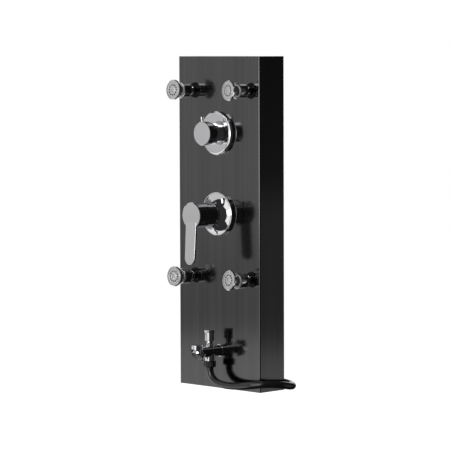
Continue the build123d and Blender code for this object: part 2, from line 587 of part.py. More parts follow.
# ---------------------------------------------------------------- bath spout with pull-up diverter
SPOUT_RADIUS = 11.2
SPOUT_SEAT_RADIUS = 11.9       # thin collar against the panel's face
END_OUT = 60.5                 # axis of the upright end of the spout
END_TOP = 88.5
MOUTH_OUT = 58.0
MOUTH_DROP = 6.5               # mouth centre below the spout's axis
MOUTH_TILT = 42.0              # degrees from straight down towards the front
MOUTH_RADIUS = 12.4
OUTLET_OUT = 26.0              # hose outlet and pull knob share this axis
NIPPLE_FOOT = 46.0             # foot of the hose nipple above the panel's foot
NUT_FOOT = 43.0
NUT_TOP = 55.6

with BuildPart() as spout_body:
    rod(place(0, -END_OUT, SPOUT_HEIGHT - SPOUT_RADIUS - 4), UP, SPOUT_RADIUS,
        END_TOP - SPOUT_HEIGHT + SPOUT_RADIUS + 4)
    fillet(spout_body.edges().sort_by(Axis.Z)[-1], 1.6)
    rod(place(0, -END_OUT, SPOUT_HEIGHT), INTO, SPOUT_RADIUS, END_OUT)
    rod(place(0, -1.2, SPOUT_HEIGHT), INTO, SPOUT_SEAT_RADIUS, 1.2)
    rod(place(0, 0, SPOUT_HEIGHT), INTO, THREAD_HALF_INCH, 24)
    mouth_way = Vector(0, -sin(radians(MOUTH_TILT)), -cos(radians(MOUTH_TILT)))
    mouth_centre = place(0, -MOUTH_OUT, SPOUT_HEIGHT - MOUTH_DROP)
    mouth = Plane(origin=mouth_centre, x_dir=RIGHT, z_dir=mouth_way)
    with BuildSketch(mouth.offset(-1.5)):
        Rectangle(60, 60)
    extrude(amount=40, mode=Mode.SUBTRACT)
    rod(mouth_centre - mouth_way * 9, mouth_way, MOUTH_RADIUS, 10.5)
    rod(place(0, -OUTLET_OUT, NUT_TOP), UP, 10.4, SPOUT_HEIGHT - NUT_TOP)
    rod(place(0, -OUTLET_OUT, NIPPLE_FOOT), UP, THREAD_HALF_INCH - 0.7, NUT_TOP - NIPPLE_FOOT)
    rod(place(0, -OUTLET_OUT, SPOUT_HEIGHT), UP, 7.6, SPOUT_RADIUS + 2.2)
    rod(place(0, 25, SPOUT_HEIGHT), OUT, 7, 25 + 50, mode=Mode.SUBTRACT)
    rod(mouth_centre - mouth_way * 14, mouth_way, 8, 10, mode=Mode.SUBTRACT)
    rod(mouth_centre - mouth_way * 6, mouth_way, 10.6, 10, mode=Mode.SUBTRACT)
    rod(place(0, -OUTLET_OUT, NIPPLE_FOOT - 1), UP, 5.5, 30, mode=Mode.SUBTRACT)
    rod(place(0, -OUTLET_OUT, SPOUT_HEIGHT - 6), UP, 6.6, 14, mode=Mode.SUBTRACT)
    rod(place(0, -OUTLET_OUT, SPOUT_HEIGHT), UP, 3.05, 30, mode=Mode.SUBTRACT)
finish(spout_body, "spout_body")

with BuildPart() as spout_aerator:
    rod(mouth_centre - mouth_way * 5.9, mouth_way, 10.5, 6.2)
    rod(mouth_centre - mouth_way * 1.2, mouth_way, 8.6, 3, mode=Mode.SUBTRACT)
    rod(mouth_centre - mouth_way * 7, mouth_way, 2, 10, mode=Mode.SUBTRACT)
finish(spout_aerator, "spout_aerator")

with BuildPart() as spout_gasket:
    turned(section(0, SPOUT_HEIGHT), [(11, -3), (16, -3), (16, -SHEET), (11, -SHEET)])
finish(spout_gasket, "spout_gasket")

with BuildPart() as spout_back_nut:
    with BuildSketch(facing(0, -3, SPOUT_HEIGHT)):
        RegularPolygon(16.5, 6)
        Circle(THREAD_HALF_INCH + 0.05, mode=Mode.SUBTRACT)
    extrude(amount=-6)
finish(spout_back_nut, "spout_back_nut")

KNOB_FOOT = 94.5
KNOB_TOP = 115.0
pull_axis = Plane(origin=place(0, -OUTLET_OUT, 0), x_dir=RIGHT, z_dir=OUT)

with BuildPart() as pull_knob:
    turned(pull_axis, [
        (0, 72), (3, 72), (3, 87), (6.4, 87), (6.4, KNOB_FOOT - 0.6), (7.0, KNOB_FOOT), (9.6, KNOB_FOOT),
        (10.1, KNOB_FOOT + 0.6), (10.1, KNOB_TOP - 4.4), (11.1, KNOB_TOP - 2.0),
        (11.1, KNOB_TOP - 0.6), (10.5, KNOB_TOP), (0, KNOB_TOP)])
finish(pull_knob, "pull_knob")

with BuildPart() as pull_plunger:
    turned(pull_axis, [(0, 67.8), (5.4, 67.8), (6.2, 69), (6.2, 71.9), (0, 71.9)])
finish(pull_plunger, "pull_plunger")

# ---------------------------------------------------------------- hand-shower hose
HOSE_NUT_RADIUS = 11.7
with BuildPart() as hose_nut:
    turned(pull_axis, [
        (7.3, NUT_FOOT), (HOSE_NUT_RADIUS - 1.2, NUT_FOOT), (HOSE_NUT_RADIUS, NUT_FOOT + 1.4),
        (HOSE_NUT_RADIUS, NUT_TOP - 0.8), (HOSE_NUT_RADIUS - 0.6, NUT_TOP - 0.2),
        (THREAD_HALF_INCH - 0.65, NUT_TOP - 0.2), (THREAD_HALF_INCH - 0.65, NIPPLE_FOOT - 0.2),
        (7.3, NIPPLE_FOOT - 0.2)])
finish(hose_nut, "hose_nut")

LEAD_OUT = OUTLET_OUT
COIL_DEPTH = 77.0
COIL_X = -9.0
COIL_OUTER_TURN = 92.0         # centreline radius of the outermost turn
COIL_TURNS = 2.5
COIL_PITCH = 14.4
LEAD_HEIGHT_BEHIND = 14.3
COIL_HEIGHT = COIL_OUTER_TURN + LEAD_HEIGHT_BEHIND
TAIL_BEND = 27.0

# the hose's route from its nut, down and round the right edge of the panel to the coil behind
LEAD_ROUTE = [
    (0.0, -26.0, 45.8),
    (0.0, -26.0, 32.0),
    (9.0, -26.0, 19.6),
    (24.0, -26.0, 13.2),
    (48.0, -26.4, 10.8),
    (80.0, -26.2, 12.8),
    (112.0, -26.0, 17.0),
    (136.5, -11.5, 20.6),
    (150.5, 12.7, 18.6),
    (150.5, 40.3, 13.0),
    (136.7, 63.6, 10.6),
    (112.0, 77.2, 12.0),
    (78.0, 77.5, 13.8),
    (42.0, 77.0, LEAD_HEIGHT_BEHIND),
]
lead_points = [place(*stop) for stop in LEAD_ROUTE]
lead_radii = []
for before, corner, after in zip(lead_points, lead_points[1:], lead_points[2:]):
    arriving = corner - before
    leaving = after - corner
    turn = arriving.get_angle(leaving)
    lead_radii.append(0.45 * min(arriving.length, leaving.length) / tan(radians(turn / 2)))
    print(f"hose corner: turn {turn:.1f} deg, radius {lead_radii[-1]:.1f} mm")

with BuildPart() as shower_hose_lead:
    with BuildLine() as lead_line:
        FilletPolyline(*lead_points, radius=lead_radii)
    with BuildSketch(Plane(origin=lead_line.line @ 0, z_dir=lead_line.line % 0)):
        Circle(HOSE_RADIUS)
    sweep(path=lead_line.line)
finish(shower_hose_lead, "shower_hose_lead")
lead_length = sum(piece.length for piece in lead_line.edges())
print(f"lead length {lead_length:.1f} mm, volume {shower_hose_lead.part.volume:.0f}, "
      f"section x length {pi * HOSE_RADIUS ** 2 * lead_length:.0f}")

COIL_CENTRE = place(COIL_X, COIL_DEPTH, COIL_HEIGHT)
COIL_INNER_TURN = COIL_OUTER_TURN - COIL_TURNS * COIL_PITCH
COIL_EYE = COIL_INNER_TURN - HOSE_RADIUS

with BuildPart() as shower_hose_coil:
    with BuildSketch(Plane(origin=COIL_CENTRE - Vector(0, HOSE_RADIUS, 0), x_dir=RIGHT, z_dir=INTO)):
        Circle(COIL_OUTER_TURN + HOSE_RADIUS)
        Circle(COIL_EYE, mode=Mode.SUBTRACT)
    extrude(amount=2 * HOSE_RADIUS)
    tail = COIL_CENTRE + Vector(TAIL_BEND, 0, COIL_INNER_TURN - TAIL_BEND)
    rod(tail, UP, HOSE_RADIUS - 0.1, 20)
finish(shower_hose_coil, "shower_hose_coil")
mean_turn = (COIL_OUTER_TURN + COIL_INNER_TURN) / 2
coil_length = 2 * pi * mean_turn * COIL_TURNS
lead_to_coil = 42.0 - COIL_X
print(f"whole hose {lead_length + lead_to_coil + coil_length + TAIL_BEND * pi / 2:.0f} mm")

END_NUT_LENGTH = 30.0
END_NUT_RADIUS = 11.7
END_THREAD_DEPTH = 11.0

with BuildPart() as hose_end_nut:
    rod(tail, DOWN, 9.0, 8)
    with Locations(Plane(origin=tail + Vector(0, 0, -8), z_dir=DOWN)):
        Cone(9.0, END_NUT_RADIUS, 8, align=(Align.CENTER, Align.CENTER, Align.MIN))
    rod(tail + Vector(0, 0, -16), DOWN, END_NUT_RADIUS, END_NUT_LENGTH - 16)
    rod(tail + Vector(0, 0, -END_NUT_LENGTH + END_THREAD_DEPTH), DOWN, THREAD_HALF_INCH_BORE, 20,
        mode=Mode.SUBTRACT)
    rod(tail + Vector(0, 0, -5), DOWN, 5, 40, mode=Mode.SUBTRACT)
finish(hose_end_nut, "hose_end_nut")

# ---------------------------------------------------------------- rail and strap that hold the coil
TIE_RAIL_HEIGHT = 172.0
STRAP_WIDTH = 12.0
STRAP = 1.6

with BuildPart() as hose_tie_rail:
    with Locations(place(0, PANEL_DEPTH + SHEET / 2, TIE_RAIL_HEIGHT)):
        Box(RAIL_WIDTH, SHEET, 15)
finish(hose_tie_rail, "hose_tie_rail")

strap_front = PANEL_DEPTH - 1.2
strap_back = COIL_DEPTH + HOSE_RADIUS + 0.2
strap_low = COIL_HEIGHT + COIL_EYE - 3.4
strap_high = COIL_HEIGHT + COIL_OUTER_TURN + HOSE_RADIUS + 0.2
strap_x = COIL_X - 8.0

with BuildPart() as coil_strap:
    with BuildSketch(Plane.YZ.offset(strap_x - STRAP_WIDTH / 2)) as loop:
        with Locations((FRONT_Y + (strap_front + strap_back) / 2, FOOT_Z + (strap_low + strap_high) / 2)):
            RectangleRounded(strap_back - strap_front + 2 * STRAP, strap_high - strap_low + 2 * STRAP, 2.4)
            RectangleRounded(strap_back - strap_front, strap_high - strap_low, 0.8, mode=Mode.SUBTRACT)
    extrude(amount=STRAP_WIDTH)
finish(coil_strap, "coil_strap")
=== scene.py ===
import bpy
import numpy as np
from mathutils import Matrix, Vector


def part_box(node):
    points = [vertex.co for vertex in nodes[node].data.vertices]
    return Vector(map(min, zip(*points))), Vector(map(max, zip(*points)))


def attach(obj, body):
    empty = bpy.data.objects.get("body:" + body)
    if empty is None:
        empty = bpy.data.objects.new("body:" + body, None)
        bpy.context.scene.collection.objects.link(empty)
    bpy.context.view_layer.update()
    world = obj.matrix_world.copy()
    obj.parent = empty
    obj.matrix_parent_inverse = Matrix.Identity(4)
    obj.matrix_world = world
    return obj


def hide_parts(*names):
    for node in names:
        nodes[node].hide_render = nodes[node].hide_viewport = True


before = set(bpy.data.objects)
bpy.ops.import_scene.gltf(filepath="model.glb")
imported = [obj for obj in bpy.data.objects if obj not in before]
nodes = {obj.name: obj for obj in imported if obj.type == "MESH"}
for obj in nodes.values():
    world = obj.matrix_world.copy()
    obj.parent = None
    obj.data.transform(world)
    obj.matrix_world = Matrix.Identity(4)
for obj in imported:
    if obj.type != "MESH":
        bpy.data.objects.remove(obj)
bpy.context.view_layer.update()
scene = bpy.context.scene
scene.view_settings.view_transform = "Standard"

# ---------------------------------------------------------------- camera
# The panel is seen from its front right, a little above its middle, through a long lens,
# with a hair of roll.
CAMERA_PLACE = Vector((3.4940, -3.5445, 0.2442))
CAMERA_TARGET = Vector((0.0165, -0.0900, -0.0985))
CAMERA_ROLL = np.radians(-0.198)
CAMERA_LENS = 204.56           # mm, on a sensor 36 mm wide

back = (CAMERA_PLACE - CAMERA_TARGET).normalized()
right = Vector((0, 0, 1)).cross(back).normalized()
up = back.cross(right)
rolled_right = right * np.cos(CAMERA_ROLL) + up * np.sin(CAMERA_ROLL)
rolled_up = up * np.cos(CAMERA_ROLL) - right * np.sin(CAMERA_ROLL)
camera = bpy.data.objects.new("camera", bpy.data.cameras.new("camera"))
scene.collection.objects.link(camera)
camera.data.sensor_width = 36.0
camera.data.lens = CAMERA_LENS
camera.data.clip_end = 100.0
turned = Matrix((rolled_right, rolled_up, back)).transposed().to_4x4()
camera.matrix_world = Matrix.Translation(CAMERA_PLACE) @ turned
scene.camera = camera

# ---------------------------------------------------------------- hand-shower hose
# Smooth black hose, 14 mm thick. It leaves its nut under the spout, lies round the panel's right
# edge, and the rest is wound flat behind the panel, where its end nut sits in the coil's eye.
HOSE_RADIUS = 0.007
hose_route = [
    (0.0, -0.1160, -0.3692), (0.0, -0.1160, -0.3830), (0.009, -0.1160, -0.3954),
    (0.024, -0.1160, -0.4018), (0.048, -0.1164, -0.4042), (0.080, -0.1162, -0.4022),
    (0.112, -0.1160, -0.3980), (0.1365, -0.1015, -0.3944), (0.1505, -0.0773, -0.3964),
    (0.1505, -0.0497, -0.4020), (0.1367, -0.0264, -0.4044), (0.112, -0.0128, -0.4030),
    (0.078, -0.0125, -0.4012), (0.042, -0.0130, -0.4007),
]
COIL_CENTRE = (-0.009, -0.013, -0.3087)
COIL_OUTER = 0.092
COIL_PITCH = 0.0144
COIL_TURNS = 2.5
POINTS_PER_TURN = 24

# each turn is wound clockwise as seen from the front, starting from the coil's lowest point
for step in range(int(COIL_TURNS * POINTS_PER_TURN) + 1):
    turned_by = step / POINTS_PER_TURN
    reach = COIL_OUTER - COIL_PITCH * turned_by
    hose_route.append((COIL_CENTRE[0] - reach * np.sin(2 * np.pi * turned_by),
                       COIL_CENTRE[1],
                       COIL_CENTRE[2] - reach * np.cos(2 * np.pi * turned_by)))
hose_route += [(-0.0018, -0.013, -0.2527), (0.0108, -0.013, -0.2599), (0.0180, -0.013, -0.2725),
               (0.0180, -0.013, -0.2797)]

hose_line = bpy.data.curves.new("shower_hose", "CURVE")
hose_line.dimensions = "3D"
hose_spline = hose_line.splines.new("NURBS")
hose_spline.points.add(len(hose_route) - 1)
hose_spline.points.foreach_set("co", np.c_[np.array(hose_route), np.ones(len(hose_route))].ravel())
hose_spline.order_u = 3
hose_spline.use_endpoint_u = True
hose_spline.resolution_u = 6
# a unit bevel on points that carry the hose's radius keeps the curve's own box to the hose's size
hose_spline.points.foreach_set("radius", np.full(len(hose_route), HOSE_RADIUS))
hose_line.bevel_depth = 1.0
hose_line.bevel_resolution = 8
hose_line.use_fill_caps = True
shower_hose = bpy.data.objects.new("shower_hose", hose_line)
scene.collection.objects.link(shower_hose)
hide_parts("shower_hose_lead", "shower_hose_coil")
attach(shower_hose, "column")


class Value:
    """A number on a shader socket. Python arithmetic on it adds Math nodes."""

    def __init__(self, finish, socket):
        self.finish = finish
        self.socket = socket

    def _with(self, operation, first, second):
        return self.finish.node("ShaderNodeMath", {"operation": operation}, {0: first, 1: second})

    def __add__(self, other):
        return self._with("ADD", self, other)

    def __mul__(self, other):
        return self._with("MULTIPLY", self, other)

    def __sub__(self, other):
        return self._with("SUBTRACT", self, other)

    def sine(self):
        return self.finish.node("ShaderNodeMath", {"operation": "SINE"}, {0: self})


class Finish:
    """One finish: a material, and the single method that adds a node to it."""

    def __init__(self, name, **constants):
        self.material = bpy.data.materials.new(name)
        self.material.use_nodes = True
        self.tree = self.material.node_tree
        self.shader = self.tree.nodes["Principled BSDF"]
        self.place = self.node("ShaderNodeTexCoord", output="Object")
        self.surface(**constants)

    def node(self, kind, settings=None, inputs=None, output=0):
        """Adds a node, gives it its settings first, then the values or links of its sockets."""
        made = self.tree.nodes.new(kind)
        for setting, value in (settings or {}).items():
            if setting == "stops":
                ends = made.color_ramp.elements
                while len(ends) < len(value):
                    ends.new(0.5)
                for end, (where, tone) in zip(ends, value):
                    end.position = where
                    end.color = tone
            else:
                setattr(made, setting, value)
        for socket, value in (inputs or {}).items():
            self.feed(made.inputs[socket], value)
        return Value(self, made.outputs[output])

    def feed(self, socket, value):
        """Links a Value into a socket, or sets a plain value on it."""
        if isinstance(value, Value):
            self.tree.links.new(value.socket, socket)
        else:
            socket.default_value = value

    def surface(self, **inputs):
        """Feeds the surface shader; an underscore stands for a space in a socket's name."""
        for socket, value in inputs.items():
            self.feed(self.shader.inputs[socket.replace("_", " ")], value)

    def noise(self, scale, detail=3.0, stretch=(1.0, 1.0, 1.0)):
        """Noise from 0 to 1 whose grain is 1 / (scale x stretch) along each axis."""
        stretched = self.node("ShaderNodeMapping", None, {"Vector": self.place, "Scale": stretch})
        return self.node("ShaderNodeTexNoise", None,
                         {"Vector": stretched, "Scale": scale, "Detail": detail})

    def between(self, factor, first, second):
        """Colour that goes from first to second as factor goes from 0 to 1."""
        return self.node("ShaderNodeMix", {"data_type": "RGBA"},
                         {0: factor, 6: (*first, 1.0), 7: (*second, 1.0)}, output=2)

    def bump(self, height, depth):
        """Normal that follows a height from 0 to 1, this many metres deep."""
        return self.node("ShaderNodeBump", None, {"Height": height, "Distance": depth})


def dress(finish, *names):
    """Gives CAD nodes a finish."""
    for name in names:
        materials = nodes[name].data.materials
        materials.clear()
        materials.append(finish.material)


def new_piece(name, points, faces, finish, body):
    """Mesh piece at the origin that rides on a body and takes its finish from a slot."""
    mesh = bpy.data.meshes.new(name)
    mesh.from_pydata(points.tolist(), [], faces)
    mesh.polygons.foreach_set("use_smooth", np.full(len(mesh.polygons), True))
    mesh.materials.append(finish.material)
    mesh.update()
    piece = bpy.data.objects.new(name, mesh)
    scene.collection.objects.link(piece)
    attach(piece, body)
    return piece


hose_skin = Finish("hose_skin", Metallic=0.0, Coat_Weight=0.5, Coat_Roughness=0.08)
hose_wear = hose_skin.noise(220.0, 4.0)
hose_skin.surface(
    Base_Color=hose_skin.between(hose_wear, (0.008, 0.008, 0.009), (0.019, 0.019, 0.020)),
    Roughness=hose_wear * 0.16 + 0.16,
    Normal=hose_skin.bump(hose_wear, 0.00008),
)
hose_line.materials.append(hose_skin.material)

# ---------------------------------------------------------------- hose nut
# Fluted black nut that a hand can tighten, turned onto the nipple under the spout. Its flutes
# run straight down its side.
NUT_FLUTES = 22
FLUTE_DEPTH = 0.0007
SIDE_WALL = 0.0114             # points further out than this are on the nut's side
FLUTE_FOOT = 0.002
FLUTE_TOP = 0.0114
nut_low, nut_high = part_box("hose_nut")


def revolved(profile, middles, ways, columns, depth_at=None):
    """Closed surfaces of revolution, one per middle.

    A point is middle + way x height + radius x (side cos a + other sin a), with (radius, height)
    from the profile, a closed loop, and a in equal steps; depth_at(radius, height, a) is taken
    off the radius.
    """
    radius, height = np.array(profile, float).T
    angle = np.arange(columns) * 2 * np.pi / columns
    middles = np.atleast_2d(np.array(middles, float))
    ways = np.atleast_2d(np.array(ways, float))
    ways = ways / np.linalg.norm(ways, axis=1, keepdims=True)
    spare = np.where(np.abs(ways[:, 2:]) < 0.9, [[0.0, 0.0, 1.0]], [[1.0, 0.0, 0.0]])
    side = np.cross(spare, ways)
    side = side / np.linalg.norm(side, axis=1, keepdims=True)
    other = np.cross(ways, side)
    reach = np.repeat(radius[:, None], columns, 1)
    if depth_at is not None:
        reach = reach - depth_at(radius[:, None], height[:, None], angle[None, :])
    points = (middles[:, None, None] + ways[:, None, None] * height[None, :, None, None]
              + side[:, None, None] * (reach * np.cos(angle))[None, :, :, None]
              + other[:, None, None] * (reach * np.sin(angle))[None, :, :, None])
    rows = len(profile)
    i, j = np.meshgrid(np.arange(rows), np.arange(columns), indexing="ij")
    i2, j2 = (i + 1) % rows, (j + 1) % columns
    quads = np.stack([i * columns + j, i * columns + j2, i2 * columns + j2, i2 * columns + j], -1)
    quads = quads.reshape(-1, 4)
    shifted = quads[None] + (np.arange(len(middles)) * rows * columns)[:, None, None]
    return points.reshape(-1, 3), shifted.reshape(-1, 4).tolist()


def flutes(radius, height, angle):
    """FLUTE_DEPTH x (half + half cosine of the flute count x a) squared, on the side wall only."""
    on_side = (radius > SIDE_WALL) & (height > FLUTE_FOOT) & (height < FLUTE_TOP)
    return on_side * FLUTE_DEPTH * (0.5 + 0.5 * np.cos(NUT_FLUTES * angle)) ** 2


nut_black = Finish("nut_black", Metallic=0.85, Coat_Weight=0.3, Coat_Roughness=0.12)
nut_grain = nut_black.noise(900.0, 3.0)
nut_black.surface(
    Base_Color=nut_black.between(nut_grain, (0.030, 0.030, 0.032), (0.060, 0.060, 0.063)),
    Roughness=nut_grain * 0.14 + 0.18,
    Normal=nut_black.bump(nut_grain, 0.00002),
)
nut_points, nut_faces = revolved(
    [(0.0073, 0.0), (0.0105, 0.0), (0.0117, 0.0014), (0.0117, 0.0021), (0.0117, 0.0032),
     (0.0117, 0.0070), (0.0117, 0.0104), (0.0117, 0.0113), (0.0117, 0.0118), (0.0111, 0.0124),
     (0.00983, 0.0124), (0.00983, 0.0028), (0.0073, 0.0028)],
    [((nut_low.x + nut_high.x) / 2, (nut_low.y + nut_high.y) / 2, nut_low.z)], [(0, 0, 1)],
    NUT_FLUTES * 10, flutes)
fluted_nut = new_piece("fluted_hose_nut", nut_points, nut_faces, nut_black, "column")
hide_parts("hose_nut")

# ---------------------------------------------------------------- strap round the coil
# Woven black strap, 12 mm wide, that ties the spare turns of hose to the rail behind the panel.
strap_low, strap_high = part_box("coil_strap")
STRAP_THICK = 0.0016
STRAP_SECTION = 12             # points round the strap's section
WEAVE_PITCH = 5200.0           # radians per metre


def strap_loop(inset, thickness, start, end, steps):
    """Strap along a rounded rectangle in the YZ plane, from a start to an end share of its way.

    The line is a superellipse with power 10: y and z are half sizes x sign x |cos|, |sin| to the
    power 0.2. The strap's section is a flat oblong, carried at right angles to the line.
    """
    share = np.linspace(start, end, steps) * 2 * np.pi
    middle = (np.array(strap_low) + np.array(strap_high)) / 2
    half = (np.array(strap_high) - np.array(strap_low)) / 2 - inset
    y = half[1] * np.sign(np.cos(share)) * np.abs(np.cos(share)) ** 0.2
    z = half[2] * np.sign(np.sin(share)) * np.abs(np.sin(share)) ** 0.2
    line = np.stack([np.zeros(steps), y, z], 1)
    along = np.gradient(line, axis=0)
    along /= np.linalg.norm(along, axis=1, keepdims=True) + 1e-12
    outward = np.stack([np.zeros(steps), along[:, 2], -along[:, 1]], 1)
    turn = np.arange(STRAP_SECTION) * 2 * np.pi / STRAP_SECTION
    across = half[0] * np.sign(np.cos(turn)) * np.abs(np.cos(turn)) ** 0.15
    raised = thickness / 2 * np.sign(np.sin(turn)) * np.abs(np.sin(turn)) ** 0.5
    points = (middle + line[:, None] + np.array([1.0, 0, 0]) * across[None, :, None]
              + outward[:, None] * raised[None, :, None])
    i, j = np.meshgrid(np.arange(steps - 1), np.arange(STRAP_SECTION), indexing="ij")
    here, there, j2 = i * STRAP_SECTION, (i + 1) * STRAP_SECTION, (j + 1) % STRAP_SECTION
    faces = np.stack([here + j, here + j2, there + j2, there + j], -1).reshape(-1, 4).tolist()
    ends = [list(range(STRAP_SECTION - 1, -1, -1)),
            list(range((steps - 1) * STRAP_SECTION, steps * STRAP_SECTION))]
    return points.reshape(-1, 3), faces + ends


webbing = Finish("webbing", Metallic=0.0, Roughness=0.85, Sheen_Weight=0.2)
webbing_x = webbing.node("ShaderNodeSeparateXYZ", None, {0: webbing.place}, output="X")
webbing_z = webbing.node("ShaderNodeSeparateXYZ", None, {0: webbing.place}, output="Z")
weave = (((webbing_x + webbing_z) * WEAVE_PITCH).sine()
         * ((webbing_x - webbing_z) * WEAVE_PITCH).sine())
weave = weave * 0.5 + 0.5
webbing.surface(
    Base_Color=webbing.between(weave, (0.010, 0.010, 0.011), (0.035, 0.035, 0.037)),
    Normal=webbing.bump(weave, 0.0002),
)
loop_points, loop_faces = strap_loop(STRAP_THICK / 2, STRAP_THICK, 0.0, 0.9999, 161)
strap = new_piece("tie_strap", loop_points, loop_faces, webbing, "column")
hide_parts("coil_strap")

# ---------------------------------------------------------------- floor and light
# A pale floor and a pale surround that only the camera sees. What the metal mirrors are soft
# cards: grey to the front left, white in front, dim to the back right, and pale ones low and
# high at the left.
FLOOR_HEIGHT = -0.75
FLOOR_HALF = 20.0
SURROUND_RADIUS = 28.0
SURROUND_TOP = 26.0


def card(name, middle, facing_way, width, height, tones):
    """Upright glowing card; tones are (share of its height, brightness) from foot to top."""
    way = Vector(facing_way).normalized()
    side = Vector((0, 0, 1)).cross(way).normalized() * (width / 2)
    rise = Vector((0, 0, height / 2))
    middle = Vector(middle)
    mesh = bpy.data.meshes.new(name)
    mesh.from_pydata([middle - side - rise, middle + side - rise, middle + side + rise,
                      middle - side + rise], [], [(0, 1, 2, 3)])
    glow = Finish(name, Base_Color=(0, 0, 0, 1), Roughness=1.0, Specular_IOR_Level=0.0,
                  Emission_Strength=1.0)
    level = glow.node("ShaderNodeSeparateXYZ", None, {0: glow.place}, output="Z")
    share = (level - (middle.z - height / 2)) * (1.0 / height)
    glow.surface(Emission_Color=glow.node(
        "ShaderNodeValToRGB",
        {"stops": [(where, (tone, tone, tone, 1.0)) for where, tone in tones]}, {0: share}))
    mesh.materials.append(glow.material)
    made = bpy.data.objects.new(name, mesh)
    scene.collection.objects.link(made)
    made.visible_camera = False


card("front_left_card", (-1.29, -1.04, -0.10), (1.0, 0.81, 0.0), 1.9, 1.5,
     [(0.0, 0.86), (0.22, 0.74), (0.25, 0.33), (0.34, 0.39), (0.46, 0.52), (0.7, 0.54),
      (1.0, 0.58)])
card("front_card", (0.22, -1.58, 0.0), (-0.14, 1.0, 0.0), 1.15, 2.2,
     [(0.0, 1.0), (0.39, 1.0), (0.41, 3.2), (0.59, 3.2), (0.61, 1.0), (1.0, 1.0)])
card("high_front_card", (-0.08, -1.15, 1.15), (0.0, 1.0, 0.0), 0.6, 0.26, [(0.0, 3.0), (1.0, 3.0)])
card("low_card", (-1.05, -0.62, -1.16), (1.0, 0.58, 0.0), 2.4, 1.1, [(0.0, 0.9), (1.0, 0.9)])
card("back_right_card", (1.10, 1.10, -0.35), (-1.0, -1.0, 0.0), 1.2, 1.2,
     [(0.0, 0.46), (0.33, 0.44), (0.39, 0.12), (0.64, 0.12), (0.72, 0.045), (1.0, 0.03)])
card("high_left_card", (-1.16, -0.67, 1.20), (1.0, 0.58, 0.0), 2.4, 1.5, [(0.0, 0.62), (1.0, 0.62)])
card("back_left_card", (-1.20, 1.30, -0.05), (0.92, -1.0, 0.0), 1.5, 0.9,
     [(0.0, 0.9), (1.0, 0.9)])

dusk = bpy.data.worlds.new("dusk")
scene.world = dusk
dusk.use_nodes = True
dusk.node_tree.nodes["Background"].inputs["Color"].default_value = (0.030, 0.030, 0.031, 1.0)
dusk.node_tree.nodes["Background"].inputs["Strength"].default_value = 1.0

overhead = bpy.data.objects.new("overhead", bpy.data.lights.new("overhead", "AREA"))
overhead.data.size = 2.0
overhead.data.energy = 26.0
overhead.location = (0.3, -0.8, 2.2)
overhead.rotation_euler = (0.3, 0.0, 0.0)
overhead.visible_glossy = False
overhead.visible_camera = False
scene.collection.objects.link(overhead)

floor_finish = Finish("pale_floor", Roughness=0.9, Specular_IOR_Level=0.0)
floor_tone = floor_finish.noise(3.0, 2.0)
floor_finish.surface(
    Base_Color=floor_finish.between(floor_tone, (0.86, 0.86, 0.86), (0.90, 0.90, 0.90)),
    Emission_Color=(1.0, 1.0, 1.0, 1.0), Emission_Strength=0.97)
floor_mesh = bpy.data.meshes.new("floor")
floor_mesh.from_pydata([(x * FLOOR_HALF, y * FLOOR_HALF, FLOOR_HEIGHT)
                        for x, y in ((-1, -1), (1, -1), (1, 1), (-1, 1))], [], [(0, 1, 2, 3)])
floor_mesh.materials.append(floor_finish.material)
floor = bpy.data.objects.new("floor", floor_mesh)
scene.collection.objects.link(floor)
floor.visible_glossy = False
floor.visible_diffuse = False

surround_finish = Finish("surround", Base_Color=(0, 0, 0, 1), Specular_IOR_Level=0.0,
                         Emission_Color=(1, 1, 1, 1), Emission_Strength=1.0)
surround_points, surround_faces = revolved(
    [(SURROUND_RADIUS, -2.0), (SURROUND_RADIUS, SURROUND_TOP), (0.001, SURROUND_TOP),
     (0.001, SURROUND_TOP + 0.1), (SURROUND_RADIUS + 0.1, SURROUND_TOP + 0.1),
     (SURROUND_RADIUS + 0.1, -2.0)],
    [(0, 0, 0)], [(0, 0, 1)], 48)
surround_mesh = bpy.data.meshes.new("surround")
surround_mesh.from_pydata(surround_points.tolist(), [], surround_faces)
surround_mesh.materials.append(surround_finish.material)
surround = bpy.data.objects.new("surround", surround_mesh)
scene.collection.objects.link(surround)
surround.visible_glossy = False
surround.visible_diffuse = False
surround.visible_shadow = False
surround.visible_transmission = False

# ---------------------------------------------------------------- panel and end plates
# One sheet of stainless steel, coated near black, brushed up and down and folded into a channel.
# The end plates are cut from the same sheet.
dark_steel = Finish("dark_steel", Metallic=1.0)
fine_brush = dark_steel.noise(1.0, 2.0, (1500.0, 1500.0, 7.0))
broad_brush = dark_steel.noise(1.0, 3.0, (150.0, 150.0, 1.2))
brush = fine_brush * 0.4 + broad_brush * 0.6
dark_steel.surface(
    Base_Color=dark_steel.between(brush, (0.080, 0.080, 0.083), (0.190, 0.190, 0.193)),
    Roughness=brush * 0.08 + 0.09,
    Normal=dark_steel.bump(brush, 0.000004),
)
dress(dark_steel, "panel_shell", "top_end_plate", "bottom_end_plate")

